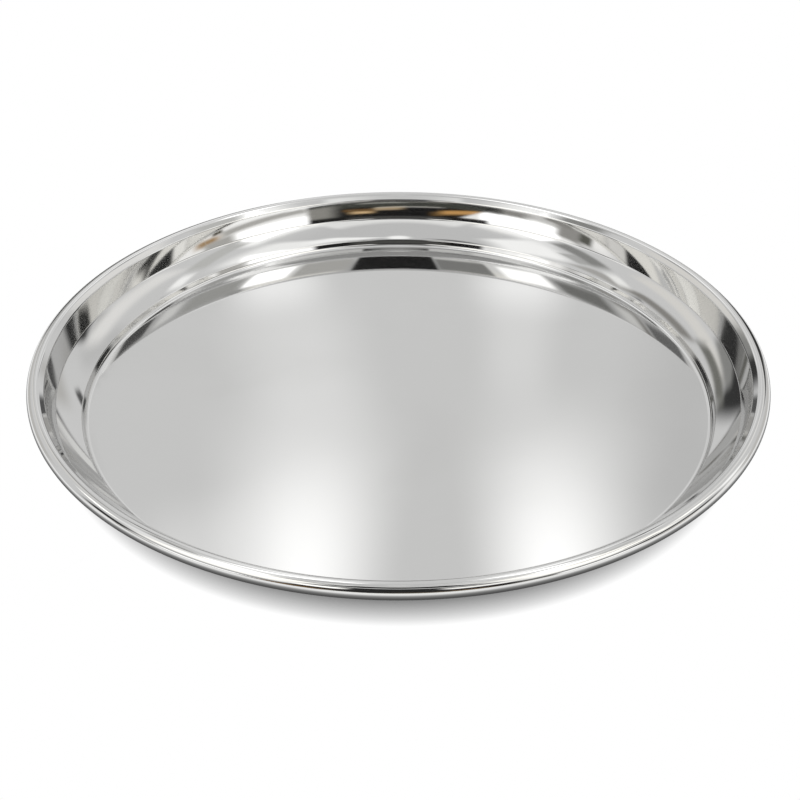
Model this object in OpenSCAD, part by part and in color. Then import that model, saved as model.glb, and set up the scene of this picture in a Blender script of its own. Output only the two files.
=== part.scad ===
// Round thali plate pressed from one disc of stainless sheet, with its edge rolled over a steel wire.
// Origin at the centre of the underside, +Z up, millimetres.

/* [Plate] */
// Diameter over the rolled edge
plate_d = 300; // [180:1:420]
// Height from the table to the top of the rolled edge
plate_h = 23.4; // [19:0.1:45]
// Thickness of the sheet
sheet_t = 0.7; // [0.5:0.05:0.9]

/* [Step round the floor] */
// Height that the step lifts the sheet above the floor
step_h = 3.4; // [2.8:0.1:4.5]
// Steepness of the step, measured from the floor
step_slope = 71; // [60:1:80]
// Bend radius where the floor turns up into the step, at mid-thickness
floor_bend_r = 2.3; // [1.2:0.1:2.6]
// Bend radius on top of the step, at mid-thickness
shoulder_bend_r = 0.7; // [0.5:0.05:1.2]

/* [Flare between step and wall] */
// Width of the flare seen from above
flare_w = 8.6; // [6:0.1:10]
// Steepness of the flare where it leaves the step
flare_foot_slope = 35; // [28:1:38]
// Steepness of the flare where it meets the wall
flare_top_slope = 45; // [42:1:48]

/* [Wall] */
// Bend radius between the flare and the wall, at mid-thickness
wall_bend_r = 2; // [1.5:0.1:4]
// Steepness of the wall at its foot
wall_foot_slope = 72; // [66:1:74]
// Steepness of the wall at its top
wall_top_slope = 76; // [75:1:80]

/* [Flank between wall and roll] */
// Bend radius between the wall and the flank, at mid-thickness
neck_bend_r = 1; // [0.8:0.1:1.5]
// Steepness of the flank
flank_slope = 44; // [40:1:50]
// Length of the flank, up to where the roll begins
flank_l = 1.9; // [1:0.1:2.2]

/* [Rolled edge] */
// Diameter of the wire inside the roll
wire_d = 4.5; // [3.5:0.1:5]
// Clearance all round the wire
wire_gap = 0.1; // [0.05:0.01:0.2]
// Gap left between the end of the roll and the wall
lip_gap = 0.3; // [0.2:0.05:0.5]

/* [Smoothness] */
// Largest turn between two points of a bend, in degrees
bend_step = 5; // [3:1:10]

/* [Hidden] */
$fn = 180;

steel_colour = [0.80, 0.80, 0.79];
wire_colour = [0.55, 0.56, 0.57];

// Radii of the roll: inside face, mid-thickness and outside face
roll_in_r = wire_d / 2 + wire_gap;
roll_mid_r = roll_in_r + sheet_t / 2;
roll_out_r = roll_in_r + sheet_t;

// Centre of the wire
wire_r = plate_d / 2 - roll_out_r;
wire_z = plate_h - roll_out_r;

// Distance from the wire's centre to the back face of the wall's top
neck_turn = wall_top_slope - flank_slope;
wall_back = roll_mid_r * cos(neck_turn)
    + flank_l * sin(neck_turn)
    + neck_bend_r * (1 - cos(neck_turn))
    - sheet_t / 2;

// The roll stops where its outer corner is lip_gap away from the wall's back face
lip_reach = min(wall_back - lip_gap, roll_out_r);
roll_turn = 360 - neck_turn - acos(lip_reach / roll_out_r);

// Height and width that an arc covers while it turns the sheet from slope a to slope b
function rise(radius, a, b) = radius * abs(cos(a) - cos(b));
function run(radius, a, b) = radius * abs(sin(a) - sin(b));

// The flare is one long arc that takes the sheet from its foot slope to its top slope
flare_bend_r = flare_w / (sin(flare_top_slope) - sin(flare_foot_slope));

// Straight length that fills the height of the step between its bends
step_l = (step_h
    - rise(floor_bend_r, 0, step_slope)
    - rise(shoulder_bend_r, step_slope, flare_foot_slope)) / sin(step_slope);

// The wall is a hollow arc that fills the height left between its foot bend and the flank
wall_rise = wire_z - sheet_t / 2 - step_h
    - rise(flare_bend_r, flare_foot_slope, flare_top_slope)
    - rise(wall_bend_r, flare_top_slope, wall_foot_slope)
    - rise(neck_bend_r, wall_top_slope, flank_slope)
    - flank_l * sin(flank_slope)
    + roll_mid_r * cos(flank_slope);
wall_r = wall_rise / (cos(wall_foot_slope) - cos(wall_top_slope));

// Radius where the flat floor ends, counted inwards from the wire
floor_r = wire_r
    - roll_mid_r * sin(flank_slope)
    - flank_l * cos(flank_slope)
    - run(neck_bend_r, wall_top_slope, flank_slope)
    - run(wall_r, wall_foot_slope, wall_top_slope)
    - run(wall_bend_r, flare_top_slope, wall_foot_slope)
    - flare_w
    - run(shoulder_bend_r, step_slope, flare_foot_slope)
    - step_l * cos(step_slope)
    - run(floor_bend_r, 0, step_slope);

// The sheet's section from the floor's edge outwards, one stretch after the other.
// A straight stretch is [length, 0], and a bend is [radius, degrees that the sheet turns up].
STRETCHES = [
    [floor_bend_r, step_slope],
    [step_l, 0],
    [shoulder_bend_r, flare_foot_slope - step_slope],
    [flare_bend_r, flare_top_slope - flare_foot_slope],
    [wall_bend_r, wall_foot_slope - flare_top_slope],
    [wall_r, wall_top_slope - wall_foot_slope],
    [neck_bend_r, -neck_turn],
    [flank_l, 0],
    [roll_mid_r, -roll_turn],
];

// The point reached from p = [r, z, slope] along a straight line
function straight_point(p, length) =
    [p[0] + length * cos(p[2]), p[1] + length * sin(p[2]), p[2]];

// The point reached from p = [r, z, slope] along an arc that turns by t degrees
function arc_point(p, radius, t) =
    [p[0] + sign(t) * radius * (sin(p[2] + t) - sin(p[2])),
     p[1] - sign(t) * radius * (cos(p[2] + t) - cos(p[2])),
     p[2] + t];

// Points along one stretch that starts at p, without p itself
function stretch_points(p, stretch) =
    let (bends = ceil(abs(stretch[1]) / bend_step))
    bends == 0
    ? [straight_point(p, stretch[0])]
    : [for (k = [1 : bends]) arc_point(p, stretch[0], stretch[1] * k / bends)];

// The points so far, followed by those of every stretch from number i on
function walk(points, i = 0) =
    i == len(STRETCHES)
    ? points
    : walk(concat(points, stretch_points(points[len(points) - 1], STRETCHES[i])), i + 1);

// A point pushed off the mid-thickness line, square to it, by d
function beside(p, d) = [p[0] - d * sin(p[2]), p[1] + d * cos(p[2])];

// The sheet: its upper face from the centre out to the lip, and its lower face back again
module pressed_plate() {
    line = walk([[floor_r, sheet_t / 2, 0]]);
    upper = [for (p = line) beside(p, sheet_t / 2)];
    lower = [for (i = [len(line) - 1 : -1 : 0]) beside(line[i], -sheet_t / 2)];
    color(steel_colour)
        rotate_extrude()
            polygon(concat([[0, sheet_t]], upper, lower, [[0, 0]]));
}

// The wire: a round ring held captive by the rolled edge
module rim_wire() {
    color(wire_colour)
        rotate_extrude()
            translate([wire_r, wire_z])
                circle(d = wire_d, $fn = 48);
}

pressed_plate();
rim_wire();
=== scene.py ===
import math

import bpy
import numpy as np
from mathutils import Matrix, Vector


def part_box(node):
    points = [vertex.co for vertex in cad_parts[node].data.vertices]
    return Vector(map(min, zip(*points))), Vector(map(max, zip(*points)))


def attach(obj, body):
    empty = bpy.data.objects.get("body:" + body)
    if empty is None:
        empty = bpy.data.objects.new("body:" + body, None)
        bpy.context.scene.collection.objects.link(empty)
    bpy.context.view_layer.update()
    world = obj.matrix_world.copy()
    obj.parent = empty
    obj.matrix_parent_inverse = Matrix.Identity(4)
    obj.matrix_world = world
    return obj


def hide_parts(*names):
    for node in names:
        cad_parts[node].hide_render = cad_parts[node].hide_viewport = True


# A round thali plate in mirror-polished stainless steel, standing on a plain pale floor.
# Metres, +Z up, with the origin at the centre of the plate's underside.
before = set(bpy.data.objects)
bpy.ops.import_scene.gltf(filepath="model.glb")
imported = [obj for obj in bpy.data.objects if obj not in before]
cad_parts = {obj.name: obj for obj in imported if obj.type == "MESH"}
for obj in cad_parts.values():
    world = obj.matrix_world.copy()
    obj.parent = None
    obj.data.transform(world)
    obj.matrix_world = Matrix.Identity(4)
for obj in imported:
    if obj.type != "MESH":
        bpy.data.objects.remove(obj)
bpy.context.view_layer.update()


# Pressed plate
# One disc of stainless sheet, pressed into a flat floor, a step, a flare and a steep wall.
# Its edge is rolled outwards over the wire, and the whole sheet is polished to a mirror.
upper_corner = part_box("pressed_plate")[1]
plate_radius = upper_corner.x
plate_height = upper_corner.z
sheet_thickness = 0.0007
step_height = 0.0034
step_slope = 71.0
floor_bend_radius = 0.0023
shoulder_bend_radius = 0.0007
flare_width = 0.0086
flare_foot_slope = 35.0
flare_top_slope = 45.0
wall_bend_radius = 0.002
wall_foot_slope = 72.0
wall_top_slope = 76.0
neck_bend_radius = 0.001
flank_slope = 44.0
flank_length = 0.0019
wire_radius = 0.00225
wire_clearance = 0.0001
lip_clearance = 0.0003
plate_segments = 400
floor_rings = 12
roll_points = 62
underside_stride = 2


def sin_deg(angle):
    """The sine of an angle in degrees."""
    return np.sin(np.radians(angle))


def cos_deg(angle):
    """The cosine of an angle in degrees."""
    return np.cos(np.radians(angle))


def sheet_line():
    """The middle line of the sheet's section, from the axis out to the lip, as arrays r, z and slope.

    Each stretch starts where the last one ends, with the same slope, so the line has no kink.
    A straight stretch moves by its length times (cos slope, sin slope).
    A bend of radius R that turns the slope from a to b moves by R (sin b - sin a, cos a - cos b),
    and by the opposite of that when the slope falls.
    """
    roll_inside = wire_radius + wire_clearance
    roll_middle = roll_inside + sheet_thickness / 2
    roll_outside = roll_inside + sheet_thickness
    neck_turn = wall_top_slope - flank_slope
    # from the wire's centre in to the back of the wall, which the lip stops just short of
    wall_back = (
        roll_middle * cos_deg(neck_turn)
        + flank_length * sin_deg(neck_turn)
        + neck_bend_radius * (1 - cos_deg(neck_turn))
        - sheet_thickness / 2
    )
    roll_turn = 360 - neck_turn - math.degrees(math.acos((wall_back - lip_clearance) / roll_outside))
    flare_radius = flare_width / (sin_deg(flare_top_slope) - sin_deg(flare_foot_slope))
    step_length = (
        step_height
        - floor_bend_radius * (1 - cos_deg(step_slope))
        - shoulder_bend_radius * (cos_deg(flare_foot_slope) - cos_deg(step_slope))
    ) / sin_deg(step_slope)
    # the hollow wall takes up the height that the other stretches leave
    wall_radius = (
        plate_height - roll_outside - sheet_thickness / 2 - step_height
        - flare_radius * (cos_deg(flare_foot_slope) - cos_deg(flare_top_slope))
        - wall_bend_radius * (cos_deg(flare_top_slope) - cos_deg(wall_foot_slope))
        - neck_bend_radius * (cos_deg(flank_slope) - cos_deg(wall_top_slope))
        - flank_length * sin_deg(flank_slope)
        + roll_middle * cos_deg(flank_slope)
    ) / (cos_deg(wall_foot_slope) - cos_deg(wall_top_slope))
    # kind, radius or length, degrees that the sheet turns up, points along it
    stretches = [
        ("bend", floor_bend_radius, step_slope, 24),
        ("straight", step_length, 0, 3),
        ("bend", shoulder_bend_radius, flare_foot_slope - step_slope, 12),
        ("bend", flare_radius, flare_top_slope - flare_foot_slope, 10),
        ("bend", wall_bend_radius, wall_foot_slope - flare_top_slope, 14),
        ("bend", wall_radius, wall_top_slope - wall_foot_slope, 10),
        ("bend", neck_bend_radius, -neck_turn, 16),
        ("straight", flank_length, 0, 3),
        ("bend", roll_middle, -roll_turn, roll_points),
    ]
    r, z, slope = [np.zeros(1)], [np.zeros(1)], [np.zeros(1)]
    for kind, size, turn, count in stretches:
        share = np.arange(1, count + 1) / count
        start_r, start_z, start_slope = r[-1][-1], z[-1][-1], slope[-1][-1]
        slopes = start_slope + turn * share
        if kind == "straight":
            r.append(start_r + size * share * cos_deg(start_slope))
            z.append(start_z + size * share * sin_deg(start_slope))
        else:
            side = np.sign(turn)
            r.append(start_r + side * size * (sin_deg(slopes) - sin_deg(start_slope)))
            z.append(start_z + side * size * (cos_deg(start_slope) - cos_deg(slopes)))
        slope.append(slopes)
    r, z, slope = np.concatenate(r), np.concatenate(z), np.concatenate(slope)
    wire_r = plate_radius - roll_outside
    roll_first = len(r) - 1 - roll_points
    r += wire_r - (r[roll_first] + roll_middle * sin_deg(flank_slope))
    floor_r = r[0] * np.linspace(0, 1, floor_rings, endpoint=False)
    flat = np.zeros(floor_rings)
    return np.append(floor_r, r), np.append(flat, z) + sheet_thickness / 2, np.append(flat, slope)


def closed_section(line):
    """The outline of a sheet around its middle line, with the normal at each point.

    A point of the upper face is the line's point plus half the thickness along (-sin slope, cos slope).
    The lower face is the same with the other sign, walked back to the axis with fewer points.
    """
    r, z, slope = line
    across = np.stack([-sin_deg(slope), cos_deg(slope)], axis=1)
    middle = np.stack([r, z], axis=1)
    upper = middle + across * sheet_thickness / 2
    lower = middle - across * sheet_thickness / 2
    back = np.arange(len(r) - 1, 0, -underside_stride)
    back = np.append(back, 0)
    return np.concatenate([upper, lower[back]]), np.concatenate([across, -across[back]])


def lathe(name, points, normals, segments):
    """A surface of revolution: point (r, z) at turn t lies at (r cos t, r sin t, z).

    The section starts and ends on the axis. Each end is one vertex with a fan of triangles,
    and the last segment joins the first, so the shell is closed. Normals turn with the points.
    """
    turn = np.linspace(0, 2 * np.pi, segments, endpoint=False)
    around = np.stack([np.cos(turn), np.sin(turn)], axis=1)

    def spin(pairs):
        """Each pair (r, z), carried round to every turn."""
        flat = pairs[:, None, :1] * around[None]
        up = np.broadcast_to(pairs[:, None, 1:], flat.shape[:2] + (1,))
        return np.concatenate([flat, up], axis=2)

    rings = len(points) - 2
    body = spin(points[1:-1]).reshape(-1, 3)
    body_normals = spin(normals[1:-1]).reshape(-1, 3)
    poles = np.array([[0, 0, points[0, 1]], [0, 0, points[-1, 1]]])
    pole_normals = np.array([[0, 0, normals[0, 1]], [0, 0, normals[-1, 1]]])
    vertices = np.concatenate([body, poles])
    index = np.arange(rings * segments).reshape(rings, segments)
    following = np.roll(index, -1, axis=1)
    quads = np.stack([index[:-1], index[1:], following[1:], following[:-1]], axis=2).reshape(-1, 4)
    first, last = len(body), len(body) + 1
    top = np.stack([np.full(segments, first), index[0], following[0]], axis=1)
    bottom = np.stack([np.full(segments, last), following[-1], index[-1]], axis=1)
    mesh = bpy.data.meshes.new(name)
    mesh.from_pydata(vertices.tolist(), [], quads.tolist() + top.tolist() + bottom.tolist())
    mesh.shade_smooth()
    mesh.normals_split_custom_set_from_vertices(np.concatenate([body_normals, pole_normals]).tolist())
    piece = bpy.data.objects.new(name, mesh)
    bpy.context.scene.collection.objects.link(piece)
    return piece


class Socket:
    """One output of a material's nodes. Arithmetic on it adds the Math nodes that work it out."""

    def __init__(self, shader, output):
        self.shader = shader
        self.output = output

    def combine(self, operation, other, swap=False):
        """A Math node on this output and another value, which comes first when they are swapped."""
        pair = (other, self) if swap else (self, other)
        return self.shader.node("ShaderNodeMath", {"operation": operation}, {0: pair[0], 1: pair[1]})

    def __add__(self, other):
        return self.combine("ADD", other)

    def __radd__(self, other):
        return self.combine("ADD", other, swap=True)

    def __mul__(self, other):
        return self.combine("MULTIPLY", other)

    def __rmul__(self, other):
        return self.combine("MULTIPLY", other, swap=True)

    def __pow__(self, other):
        return self.combine("POWER", other)

    def __rpow__(self, other):
        return self.combine("POWER", other, swap=True)


class Shader:
    """The nodes of one material or world, added one at a time."""

    def __init__(self, owner):
        owner.use_nodes = True
        self.tree = owner.node_tree
        self.tree.nodes.clear()

    def node(self, kind, settings=None, inputs=None, output=0):
        """Adds a node, sets its properties, fills its sockets with values or links, gives an output."""
        made = self.tree.nodes.new(kind)
        for key, value in (settings or {}).items():
            setattr(made, key, value)
        for key, value in (inputs or {}).items():
            if isinstance(value, Socket):
                self.tree.links.new(value.output, made.inputs[key])
            else:
                made.inputs[key].default_value = value
        return Socket(self, made.outputs[output]) if made.outputs else None

    def smooth(self, value, low, high, start=0.0, end=1.0):
        """A smooth step: start below low, end above high."""
        return self.node(
            "ShaderNodeMapRange",
            {"interpolation_type": "SMOOTHSTEP"},
            {"Value": value, "From Min": low, "From Max": high, "To Min": start, "To Max": end},
        )

    def place(self, axis=None):
        """A point's place on the piece in metres, or one axis of it."""
        whole = self.node("ShaderNodeTexCoord", output="Object")
        return self.node("ShaderNodeSeparateXYZ", None, {0: whole}, axis) if axis else whole

    def from_axis(self):
        """The distance from the plate's axis, which is the square root of x x + y y."""
        x, y = self.place("X"), self.place("Y")
        return (x * x + y * y) ** 0.5


# The polish: its tone, how sharply it mirrors, and the marks that the mop, the cloth and use leave.
# Outside the flat floor the sheet keeps faint ridges. Radii and depths are in metres.
steel_colour = (0.605, 0.604, 0.598, 1)
wiped_colour = (0.590, 0.589, 0.582, 1)
mirror_roughness = 0.035
wiped_roughness = 0.02
hairline_roughness = 0.05
haze_roughness = 0.22
haze_share = 0.018
wiped_haze_share = 0.022
mop_rings_per_metre = 900.0
mop_wander = 6.0
mop_coarse_share = 0.4
hairline_stretch = (40, 900, 40)
hairline_turn = 0.6
hairline_share = 0.6
hairlines_start = 0.68
hairlines_full = 0.74
wipes_per_metre = 14.0
wipes_start = 0.45
wipes_full = 0.75
sags_per_metre = 26.0
sag_depth = 0.000012
spun_depth = 0.0000025
mark_depth = 0.0000004
flat_until = 0.1288
spun_from = 0.1310


def mirror_steel():
    """Mirror-polished stainless steel: mop rings, hairline scratches, wiping marks and a thin haze."""
    steel = bpy.data.materials.new("mirror_polished_steel")
    shader = Shader(steel)
    place = shader.place()
    radius = shader.from_axis()
    ring_place = shader.node(
        "ShaderNodeCombineXYZ", None,
        {0: radius * mop_rings_per_metre, 1: shader.place("X") * mop_wander,
         2: shader.place("Y") * mop_wander})
    rings = shader.node("ShaderNodeTexNoise", None, {"Vector": ring_place, "Scale": 1.0, "Detail": 2.0})
    sweep = shader.node(
        "ShaderNodeMapping", None,
        {"Vector": place, "Rotation": (0, 0, hairline_turn), "Scale": hairline_stretch})
    hair = shader.node("ShaderNodeTexNoise", None, {"Vector": sweep, "Scale": 1.0, "Detail": 3.0})
    hairlines = shader.smooth(hair, hairlines_start, hairlines_full)
    wipe = shader.node(
        "ShaderNodeTexNoise", None,
        {"Vector": place, "Scale": wipes_per_metre, "Detail": 3.0, "Distortion": 0.6})
    wiped = shader.smooth(wipe, wipes_start, wipes_full)
    sag = shader.node(
        "ShaderNodeTexNoise", None, {"Vector": place, "Scale": sags_per_metre, "Detail": 0.0})
    waves = shader.node("ShaderNodeBump", None, {"Strength": 1.0, "Distance": sag_depth, "Height": sag})
    turned = shader.node(
        "ShaderNodeTexNoise", None, {"Vector": ring_place, "Scale": mop_coarse_share, "Detail": 1.0})
    beyond_floor = shader.smooth(radius, flat_until, spun_from)
    spun = shader.node(
        "ShaderNodeBump", None,
        {"Strength": 1.0, "Distance": spun_depth, "Height": turned * beyond_floor, "Normal": waves})
    scored = rings + hairlines * hairline_share
    marks = shader.node(
        "ShaderNodeBump", None,
        {"Strength": 1.0, "Distance": mark_depth, "Height": scored, "Normal": spun})
    # a Mix node of colours takes them at its sockets 6 and 7, and gives the mixed colour at output 2
    colour = shader.node(
        "ShaderNodeMix", {"data_type": "RGBA"}, {0: wiped, 6: steel_colour, 7: wiped_colour}, 2)
    sharpness = mirror_roughness + wiped * wiped_roughness + hairlines * hairline_roughness
    mirror = shader.node(
        "ShaderNodeBsdfPrincipled", None,
        {"Base Color": colour, "Metallic": 1.0, "Roughness": sharpness, "Normal": marks})
    haze = shader.node(
        "ShaderNodeBsdfPrincipled", None,
        {"Base Color": colour, "Metallic": 1.0, "Roughness": haze_roughness, "Normal": marks})
    both = shader.node(
        "ShaderNodeMixShader", None, {0: haze_share + wiped * wiped_haze_share, 1: mirror, 2: haze})
    shader.node("ShaderNodeOutputMaterial", None, {"Surface": both})
    return steel


plate = lathe("plate_sheet", *closed_section(sheet_line()), plate_segments)
plate.data.materials.append(mirror_steel())
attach(plate, "root")
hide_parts("pressed_plate")


# Rim wire
# A round steel wire, drawn and bent to a ring, that the sheet's edge is rolled over.
# It is closed inside the roll and shows nowhere, but it stiffens the rim.
drawn_colour = (0.36, 0.37, 0.38, 1)
drawn_roughness = 0.3
line_roughness = 0.2
die_lines_per_metre = 4000.0
die_line_wander = 20.0
die_line_depth = 0.00002


def drawn_steel():
    """Drawn steel wire: fine lines that run along the wire, and a dull grey."""
    steel = bpy.data.materials.new("drawn_steel_wire")
    shader = Shader(steel)
    along = shader.node(
        "ShaderNodeCombineXYZ", None,
        {0: shader.from_axis() * die_lines_per_metre, 1: shader.place("Z") * die_lines_per_metre,
         2: shader.place("X") * die_line_wander + shader.place("Y") * die_line_wander})
    lines = shader.node("ShaderNodeTexNoise", None, {"Vector": along, "Scale": 1.0, "Detail": 2.0})
    grooves = shader.node(
        "ShaderNodeBump", None, {"Strength": 0.4, "Distance": die_line_depth, "Height": lines})
    sharpness = drawn_roughness + lines * line_roughness
    metal = shader.node(
        "ShaderNodeBsdfPrincipled", None,
        {"Base Color": drawn_colour, "Metallic": 1.0, "Roughness": sharpness, "Normal": grooves})
    shader.node("ShaderNodeOutputMaterial", None, {"Surface": metal})
    return steel


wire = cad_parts["rim_wire"]
wire.data.materials.clear()
wire.data.materials.append(drawn_steel())


# Floor
# A plain white sheet of paper that the plate stands on. For the camera it glows white with a thin painted
# shade under the plate's edge; the polish shows it with painted shade, darker near the plate than further
# out.
paper_reach = 6.0
paper_colour = (0.9, 0.9, 0.9, 1)
# the painted shade under the plate's edge, from how much open sky each point of the paper sees
shade_reach = 0.009
shade_depth = 0.85
shade_samples = 16
# the painted shade that the polish shows: the paper's tone in the steel rises from dark to pale between
# these radii
dark_until = 0.142
pale_from = 0.245
dark_in_steel = 0.10
pale_in_steel = 1.25


def white_paper():
    """White paper. Its tone, a painted shade, falls only close under the plate, where the sheet above
    shades it.
    """
    paper = bpy.data.materials.new("white_paper")
    shader = Shader(paper)
    open_sky = shader.node(
        "ShaderNodeAmbientOcclusion", {"samples": shade_samples}, {"Distance": shade_reach}, "AO")
    # painted shade in the steel: darker close to the plate, paler further out
    painted_shade_in_steel = shader.smooth(shader.from_axis(), dark_until, pale_from, dark_in_steel, pale_in_steel)
    seen = shader.node("ShaderNodeLightPath", output="Is Camera Ray")
    mirrored = shader.node("ShaderNodeLightPath", output="Is Glossy Ray")
    # painted shade: for the camera the paper glows white, dimmed where the plate above hides the sky
    painted_floor_shade = shader.node("ShaderNodeEmission", None, {"Color": open_sky ** shade_depth, "Strength": 1.0})
    seen_in_steel = shader.node("ShaderNodeEmission", None, {"Color": painted_shade_in_steel, "Strength": 1.0})
    matt = shader.node("ShaderNodeBsdfDiffuse", None, {"Color": paper_colour})
    mixed = shader.node("ShaderNodeMixShader", None, {0: seen, 1: matt, 2: painted_floor_shade})
    mixed = shader.node("ShaderNodeMixShader", None, {0: mirrored, 1: mixed, 2: seen_in_steel})
    shader.node("ShaderNodeOutputMaterial", None, {"Surface": mixed})
    return paper


paper_corners = [(-paper_reach, -paper_reach, 0), (paper_reach, -paper_reach, 0),
                 (paper_reach, paper_reach, 0), (-paper_reach, paper_reach, 0)]
paper_mesh = bpy.data.meshes.new("floor")
paper_mesh.from_pydata(paper_corners, [], [(0, 1, 2, 3)])
paper_mesh.materials.append(white_paper())
paper_sheet = bpy.data.objects.new("floor", paper_mesh)
bpy.context.scene.collection.objects.link(paper_sheet)


# Studio
# Plain white light from all round, which is what lights the paper and anything that isn't mirrored.
# The tent and its slot, below, show only in the polish.
studio_colour = (1, 1, 1, 1)
studio_strength = 1.0
world = bpy.data.worlds.new("studio")
bpy.context.scene.world = world
sky = Shader(world)
light = sky.node("ShaderNodeBackground", None, {"Color": studio_colour, "Strength": studio_strength})
sky.node("ShaderNodeOutputWorld", None, {"Surface": light})


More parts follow.
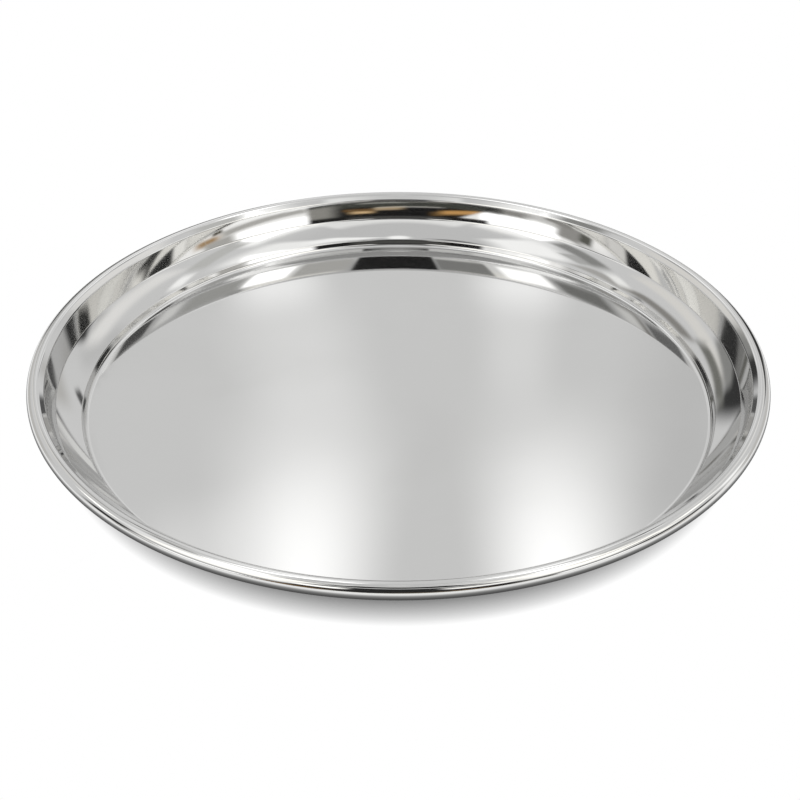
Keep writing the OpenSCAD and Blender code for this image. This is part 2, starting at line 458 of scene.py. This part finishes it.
# Tent
# The white cloth dome round the plate, with its boards, soft boxes and dark gaps painted on.
# Directions are in degrees: azimuth 0 along +Y and 90 along +X, and height above the floor.
tent_radius = 1.0
tent_tone = 0.90
tent_columns = 481
tent_rows = 181
full_circle = 360
tent_patches = {
    # azimuth and height of one end and of the other, half height, soft ends, soft edges, tone
    # the top, the front board, and the soft boxes, bands and gaps at both sides
    "overhead": (-200, 84, 560, 84, 13, 1, 12, (0.80, 0.80, 0.80)),
    "zenith": (-200, 90, 560, 90, 1.7, 1, 1.4, (1.50, 1.50, 1.49)),
    "line above slot": (128, 72, 226, 71, 3.5, 8, 4, (1.20, 1.20, 1.19)),
    "high right": (56, 67, 88, 76, 7, 10, 6, (1.35, 1.35, 1.34)),
    "high right end": (76, 80, 96, 84, 5, 8, 4, (1.45, 1.45, 1.44)),
    "high left": (266, 70, 298, 68, 6, 10, 5, (1.45, 1.45, 1.44)),
    "front board": (80, 3, 264, 3, 9, 12, 4, (1.35, 1.34, 1.32)),
    "low band right": (112, 18, 152, 18, 5, 6, 6, (0.42, 0.42, 0.42)),
    "low band left": (200, 18, 250, 18, 4.5, 8, 6, (0.66, 0.66, 0.66)),
    "box right": (98, 45, 147, 45, 19, 14, 12, (1.80, 1.77, 1.69)),
    "box left": (209, 46, 254, 46, 20, 14, 12, (1.80, 1.77, 1.69)),
    "box left side": (254, 50, 276, 50, 14, 8, 10, (1.22, 1.22, 1.22)),
    "gap right": (90, 15, 120, 16, 5.5, 12, 8, (0.03, 0.03, 0.03)),
    "gap left": (250, 15, 267, 16.5, 8, 8, 8, (0.03, 0.03, 0.03)),
    # the far side, behind the plate, and the shades beside it
    "far pale right": (48, 8, 80, 8, 12, 8, 8, (0.77, 0.76, 0.74)),
    "far pale left": (284, 8, 325, 8, 12, 8, 8, (0.73, 0.72, 0.70)),
    "far grey right": (14, 9, 31, 9, 6, 6, 6, (0.68, 0.67, 0.65)),
    "far dark right": (32, 15.5, 46, 17, 12, 5, 4, (0.05, 0.05, 0.05)),
    "far dark left": (321, 9, 349, 10, 8.5, 6, 4, (0.05, 0.05, 0.05)),
    "far shade left": (327, 22.5, 342, 18.5, 3.2, 5, 3, (0.36, 0.36, 0.35)),
    "far low line": (-44, 1, 44, 1, 5.2, 10, 2.5, (0.12, 0.12, 0.12)),
    "rim dark right": (8, 21.2, 17, 20.2, 1.2, 3, 1, (0.12, 0.12, 0.12)),
    "low glow right": (71, 26, 84, 26, 7, 8, 7, (1.55, 1.55, 1.54)),
    "far soft right": (34, 30.5, 44, 33.5, 2.2, 5, 2, (0.70, 0.70, 0.69)),
    "far soft high right": (46, 39.5, 58, 44, 2.0, 5, 2, (0.78, 0.78, 0.77)),
    "shade high left": (285, 61.5, 297, 58.5, 1.8, 4, 1.5, (0.62, 0.62, 0.61)),
    "shade high right": (86, 58.0, 95, 58.6, 1.6, 3, 1.5, (0.66, 0.66, 0.65)),
    "far band right": (30, 30, 64, 49.5, 3.6, 8, 5, (1.15, 1.14, 1.12)),
    "far band left": (300, 45.5, 341, 22, 2.6, 8, 3, (1.03, 1.01, 0.97)),
    # where lamps shine on the cloth from outside
    "hot right": (84, 62, 130, 66.5, 3.2, 10, 4, (1.52, 1.52, 1.51)),
    "hot left": (232, 66.5, 264, 63.5, 3.4, 8, 5, (1.52, 1.52, 1.51)),
    "bloom right": (24, 68, 66, 69, 3.5, 8, 3, (2.6, 2.6, 2.6)),
    "bloom left": (305, 68, 350, 68, 4, 8, 3, (2.6, 2.6, 2.6)),
    # low down on both sides of the slot, where the side walls look
    "wall grey right": (112, 4.2, 146, 5.7, 0.95, 5, 0.8, (0.62, 0.61, 0.58)),
    "wall line right": (117, 2.1, 154, 5.2, 0.55, 4, 0.5, (1.5, 1.5, 1.48)),
    "wall bright right": (118, 8.1, 148, 10.2, 1.9, 4, 1.0, (2.2, 2.2, 2.2)),
    "wall gold right": (101, 3.7, 111, 4.6, 1.0, 6, 1.4, (0.52, 0.34, 0.17)),
    "wall shade right": (104, 6.2, 116, 7.0, 1.5, 4, 1.5, (0.60, 0.59, 0.56)),
    "wall brown right": (108.5, 2.6, 112.8, 2.8, 0.6, 2, 0.6, (0.12, 0.11, 0.08)),
    "wall pale left": (226, 3.6, 242, 3.4, 1.2, 4, 0.8, (0.86, 0.85, 0.83)),
    "wall grey left": (214, 5.4, 229, 4.6, 1.2, 8, 1.0, (0.36, 0.35, 0.33)),
    "wall foot left": (198, 6.3, 219, 5.2, 1.3, 4, 1.2, (0.10, 0.10, 0.09)),
    "wall bright left": (211, 9.6, 242, 6.7, 2.2, 4, 0.8, (2.2, 2.2, 2.2)),
    "wall shade left": (240.5, 4.9, 251, 4.4, 2.3, 5, 1.0, (0.42, 0.41, 0.39)),
    "wall dark left": (249.5, 4.1, 255, 3.9, 1.6, 3, 1.0, (0.14, 0.14, 0.12)),
    "wall low left": (235, 2.5, 247, 2.3, 0.8, 4, 0.6, (0.36, 0.35, 0.33)),
    # streaks that the flare shows
    "streak left high": (300, 60.5, 316, 50, 2.6, 5, 3, (0.58, 0.57, 0.55)),
    "streak left middle": (313, 50, 331, 35.5, 2.4, 4, 3, (0.36, 0.35, 0.33)),
    "streak left low": (330, 31, 347, 17.5, 2.2, 6, 2, (0.24, 0.24, 0.22)),
    "streak left end": (279, 84, 290, 79, 2.5, 4, 3, (0.20, 0.20, 0.20)),
    # where the slot ends at the top
    "slot top": (154, 66.5, 202, 66.5, 5, 3, 0.8, (0.02, 0.02, 0.02)),
    # the dark patch that the wall shows twice over
    "twice right": (102, 42.4, 123, 51.0, 1.3, 5, 1.2, (0.03, 0.03, 0.03)),
    # patches that the side walls show three times over
    "thrice dark right": (107, 29.6, 118.5, 30.2, 1.6, 3, 1.2, (0.04, 0.04, 0.04)),
    "thrice pale right": (76, 38.5, 92, 38.5, 4, 4, 2, (1.9, 1.88, 1.80)),
    "thrice pale left": (272, 38.5, 286, 38, 3.5, 4, 2, (2.1, 2.08, 2.0)),
    # arcs that the wall shows by way of the floor
    "arc far right": (25, 47.4, 41, 51.0, 1.5, 4, 0.8, (0.12, 0.12, 0.12)),
    "arc white right": (46, 52.2, 57, 54.6, 1.6, 7, 1.6, (1.45, 1.45, 1.44)),
    "arc grey right": (61, 55.4, 90, 60.2, 2.4, 8, 2.0, (0.74, 0.74, 0.72)),
    "arc bright right": (93, 61.5, 117, 63.8, 2.6, 5, 1.0, (3.4, 3.4, 3.4)),
    "arc pale right": (121, 64.2, 151, 66.2, 3.0, 4, 1.0, (0.92, 0.91, 0.88)),
    "arc grey left": (203, 66.0, 233, 64.0, 3.0, 3, 1.0, (0.45, 0.45, 0.44)),
    "arc bright left": (240, 63.4, 266, 61.0, 2.6, 6, 1.4, (3.0, 3.0, 3.0)),
    "arc dark left": (270, 59.8, 297, 55.0, 2.2, 8, 2.0, (0.36, 0.36, 0.35)),
    "arc white left": (302, 53.8, 312, 51.6, 1.6, 7, 1.6, (1.30, 1.30, 1.28)),
    "arc far left": (318, 50.0, 338, 46.0, 1.5, 4, 0.8, (0.28, 0.28, 0.28)),
}
# The glows are bands that run upwards, so each is given as the patches are, with height first and
# azimuth second.
tent_glows = {
    "soft streak left": (27, -9.5, 36, -7.5, 4.5, 6, 7, 1.08),
    "soft streak right": (26, 10, 34, 10.5, 2.5, 6, 4, 1.05),
    "soft shade right": (25, 27, 41, 28, 5.5, 6, 9, 0.78),
    "skirt left": (41.5, -20, 60, -22, 5, 5, 6, 1.08),
    "glow left": (39, -8.7, 60, -12.9, 5.8, 16, 11, 1.68),
    "glow right": (39, 14.8, 60, 20.2, 5.4, 16, 10.5, 1.74),
    "foot glow left": (24.5, -10, 27, -10, 3, 4, 5, 1.40),
    "foot glow right": (24.5, 10, 27, 10, 3, 4, 5, 1.40),
}


def smooth_step(value, low, high):
    """0 below low, 1 above high, and t t (3 - 2 t) between them."""
    t = np.clip((value - low) / (high - low), 0, 1)
    return t * t * (3 - 2 * t)


def painted(tones, across, up, patches, full_turn=None):
    """Paints patches over the tones of a grid, one after the other.

    A patch is a band from one end (across, up) to the other end, with half its height, the softness of
    its ends, the softness of its edges and its tone. It covers fully inside and fades out over the
    softness. With a full turn, a place that far across is the same place.
    """
    for start, start_up, end, end_up, half, soft_ends, soft_edges, tone in patches.values():
        middle = (start + end) / 2
        reach = (end - start) / 2
        away = across - middle
        if full_turn:
            away = (away + full_turn / 2) % full_turn - full_turn / 2
        line = (start_up + end_up) / 2 + np.clip(away, -reach, reach) * (end_up - start_up) / (end - start)
        ends = 1 - smooth_step(abs(away), reach - soft_ends / 2, reach + soft_ends / 2)
        edges = 1 - smooth_step(abs(up - line), half - soft_edges / 2, half + soft_edges / 2)
        tones = tones + (np.array(tone) - tones) * (ends * edges)[..., None]
    return tones


def glowing_sheet(name, places, tones, cover):
    """A grid of points joined into quads, which only reflections show.

    Each point has its tone, and its cover: 1 where the sheet glows and 0 where it is clear.
    """
    rows, columns = places.shape[:2]
    index = np.arange(rows * columns).reshape(rows, columns)
    corners = [index[:-1, :-1], index[:-1, 1:], index[1:, 1:], index[1:, :-1]]
    quads = np.stack(corners, axis=2).reshape(-1, 4)
    mesh = bpy.data.meshes.new(name)
    mesh.from_pydata(places.reshape(-1, 3).tolist(), [], quads.tolist())
    paint = mesh.color_attributes.new("paint", "FLOAT_COLOR", "POINT")
    colours = np.concatenate([tones, cover[..., None]], axis=2).astype(np.float32)
    paint.data.foreach_set("color", colours.ravel())
    cloth = bpy.data.materials.new(name)
    shader = Shader(cloth)
    tone = shader.node("ShaderNodeAttribute", {"attribute_name": "paint"}, output="Color")
    solid = shader.node("ShaderNodeAttribute", {"attribute_name": "paint"}, output="Alpha")
    glow = shader.node("ShaderNodeEmission", None, {"Color": tone, "Strength": 1.0})
    clear = shader.node("ShaderNodeBsdfTransparent")
    mixed = shader.node("ShaderNodeMixShader", None, {0: solid, 1: clear, 2: glow})
    shader.node("ShaderNodeOutputMaterial", None, {"Surface": mixed})
    mesh.materials.append(cloth)
    sheet = bpy.data.objects.new(name, mesh)
    bpy.context.scene.collection.objects.link(sheet)
    sheet.visible_camera = False
    sheet.visible_diffuse = False
    sheet.visible_shadow = False
    sheet.visible_transmission = False
    sheet.visible_volume_scatter = False


# A direction of azimuth a and height h points to (sin a cos h, cos a cos h, sin h)
azimuth, height = np.meshgrid(
    np.linspace(0, full_circle, tent_columns), np.linspace(0, full_circle / 4, tent_rows))
tent_places = tent_radius * np.stack([
    sin_deg(azimuth) * cos_deg(height), cos_deg(azimuth) * cos_deg(height), sin_deg(height)], axis=2)
tent_tones = np.full(azimuth.shape + (3,), tent_tone)
off_centre = (azimuth + full_circle / 2) % full_circle - full_circle / 2
tent_tones = painted(tent_tones, height, off_centre, tent_glows)
tent_tones = painted(tent_tones, azimuth, height, tent_patches, full_circle)
glowing_sheet("tent", tent_places, tent_tones, np.ones_like(azimuth))


# Slot
# The dark opening in the tent's front that the plate is photographed through, wide at its foot and
# ledge and narrower above. It is nearer than the dome, so it shifts against it along the plate.
slot_away = 0.43
slot_tone = 0.012
# the sheet that it is painted on, with finer rows at the foot
slot_left = -0.36
slot_right = 0.34
slot_columns = 141
fine_rise = (0.050, 0.126)
fine_rows = 77
coarse_rise = (0.13, 0.90)
coarse_rows = 40
# the edges of the upper part, the ledge and the foot, and how softly they fade into the dome
side_fade = 0.04
edge_fade = 0.006
upper_left = -0.225
upper_right = 0.25
upper_fade = 0.05
ledge_reach = 0.33
ledge_low = 0.108
ledge_high = 0.138
foot_low = 0.054
foot_high = 0.114
# the foot's left edge slants: it passes this corner (x, z), and goes this far right for each metre up
foot_corner = (-0.235, 0.105)
foot_lean = 2.6
slot_patches = {
    # x and z of one end and of the other, half height, soft ends, soft edges, tone
    "grey foot": (-0.30, 0.070, 0.28, 0.070, 0.009, 0.03, 0.002, (0.065, 0.068, 0.058)),
    "foot line left": (-0.16, 0.060, -0.01, 0.0655, 0.0016, 0.04, 0.0015, (0.20, 0.19, 0.17)),
    "foot line right": (-0.02, 0.0655, 0.12, 0.0655, 0.0018, 0.05, 0.0015, (0.46, 0.45, 0.42)),
    "right end": (0.205, 0.088, 0.34, 0.088, 0.022, 0.08, 0.010, (0.38, 0.37, 0.34)),
    "brown left": (-0.30, 0.084, -0.105, 0.104, 0.008, 0.05, 0.006, (0.22, 0.13, 0.05)),
    "orange left": (-0.27, 0.085, -0.135, 0.097, 0.0065, 0.05, 0.008, (0.80, 0.44, 0.15)),
    "cream line left": (-0.135, 0.079, 0.00, 0.0815, 0.0017, 0.05, 0.0015, (0.60, 0.58, 0.54)),
    "cream line": (-0.02, 0.0815, 0.07, 0.0835, 0.0022, 0.03, 0.002, (0.80, 0.72, 0.58)),
    "gold middle": (-0.01, 0.087, 0.085, 0.089, 0.0042, 0.05, 0.004, (0.58, 0.44, 0.28)),
    "brown right": (0.075, 0.091, 0.175, 0.088, 0.0045, 0.03, 0.003, (0.20, 0.11, 0.04)),
    "gold right": (0.080, 0.0985, 0.150, 0.0975, 0.0040, 0.05, 0.004, (0.98, 0.68, 0.36)),
    "step grey": (-0.16, 0.1185, 0.16, 0.1185, 0.0035, 0.05, 0.002, (0.10, 0.10, 0.095)),
    "upper slot": (-0.30, 0.255, 0.30, 0.255, 0.115, 0.02, 0.03, (0.03, 0.03, 0.03)),
    "light in slot left": (-0.26, 0.29, -0.10, 0.29, 0.075, 0.04, 0.03, (2.0, 1.98, 1.92)),
    "light in slot right": (0.085, 0.30, 0.27, 0.30, 0.075, 0.04, 0.03, (1.6, 1.58, 1.54)),
    "pale bar": (-0.30, 0.535, 0.30, 0.535, 0.06, 0.02, 0.05, (0.95, 0.95, 0.94)),
}


def window(value, low, high, fade):
    """1 between low and high and 0 beyond them, with a smooth fade just inside each end."""
    return smooth_step(value, low, low + fade) * (1 - smooth_step(value, high - fade, high))


across, rise = np.meshgrid(
    np.linspace(slot_left, slot_right, slot_columns),
    np.concatenate([np.linspace(*fine_rise, fine_rows), np.linspace(*coarse_rise, coarse_rows)]))
slot_places = np.stack([across, np.full(across.shape, -slot_away), rise], axis=2)
slot_tones = painted(np.full(across.shape + (3,), slot_tone), across, rise, slot_patches)
foot_left = foot_corner[0] - (foot_corner[1] - rise) * foot_lean
foot = window(across, foot_left, ledge_reach, side_fade) * window(rise, foot_low, foot_high, edge_fade)
ledge = window(across, -ledge_reach, ledge_reach, side_fade)
ledge = ledge * window(rise, ledge_low, ledge_high, edge_fade)
upper = window(across, upper_left, upper_right, upper_fade)
upper = upper * smooth_step(rise, ledge_high - edge_fade, ledge_high)
glowing_sheet("slot", slot_places, slot_tones, foot + ledge + upper)


# Camera
# It stands where the photograph was taken from, at arm's length before the plate and above it.
# It looks down at a point just before the plate's centre, and takes in the whole plate.
camera_back = 0.4055
camera_up = 0.2677
camera_pitch = 34.21
camera_yaw = 0.086
camera_lens = 51.12
camera_film_width = 36.0
camera_nearest = 0.01
camera = bpy.data.cameras.new("camera")
camera.lens = camera_lens
camera.sensor_width = camera_film_width
camera.clip_start = camera_nearest
viewer = bpy.data.objects.new("camera", camera)
viewer.location = (0, -camera_back, camera_up)
viewer.rotation_euler = (math.radians(90 - camera_pitch), 0, -math.radians(camera_yaw))
bpy.context.scene.collection.objects.link(viewer)
bpy.context.scene.camera = viewer
bpy.context.scene.view_settings.view_transform = "Standard"
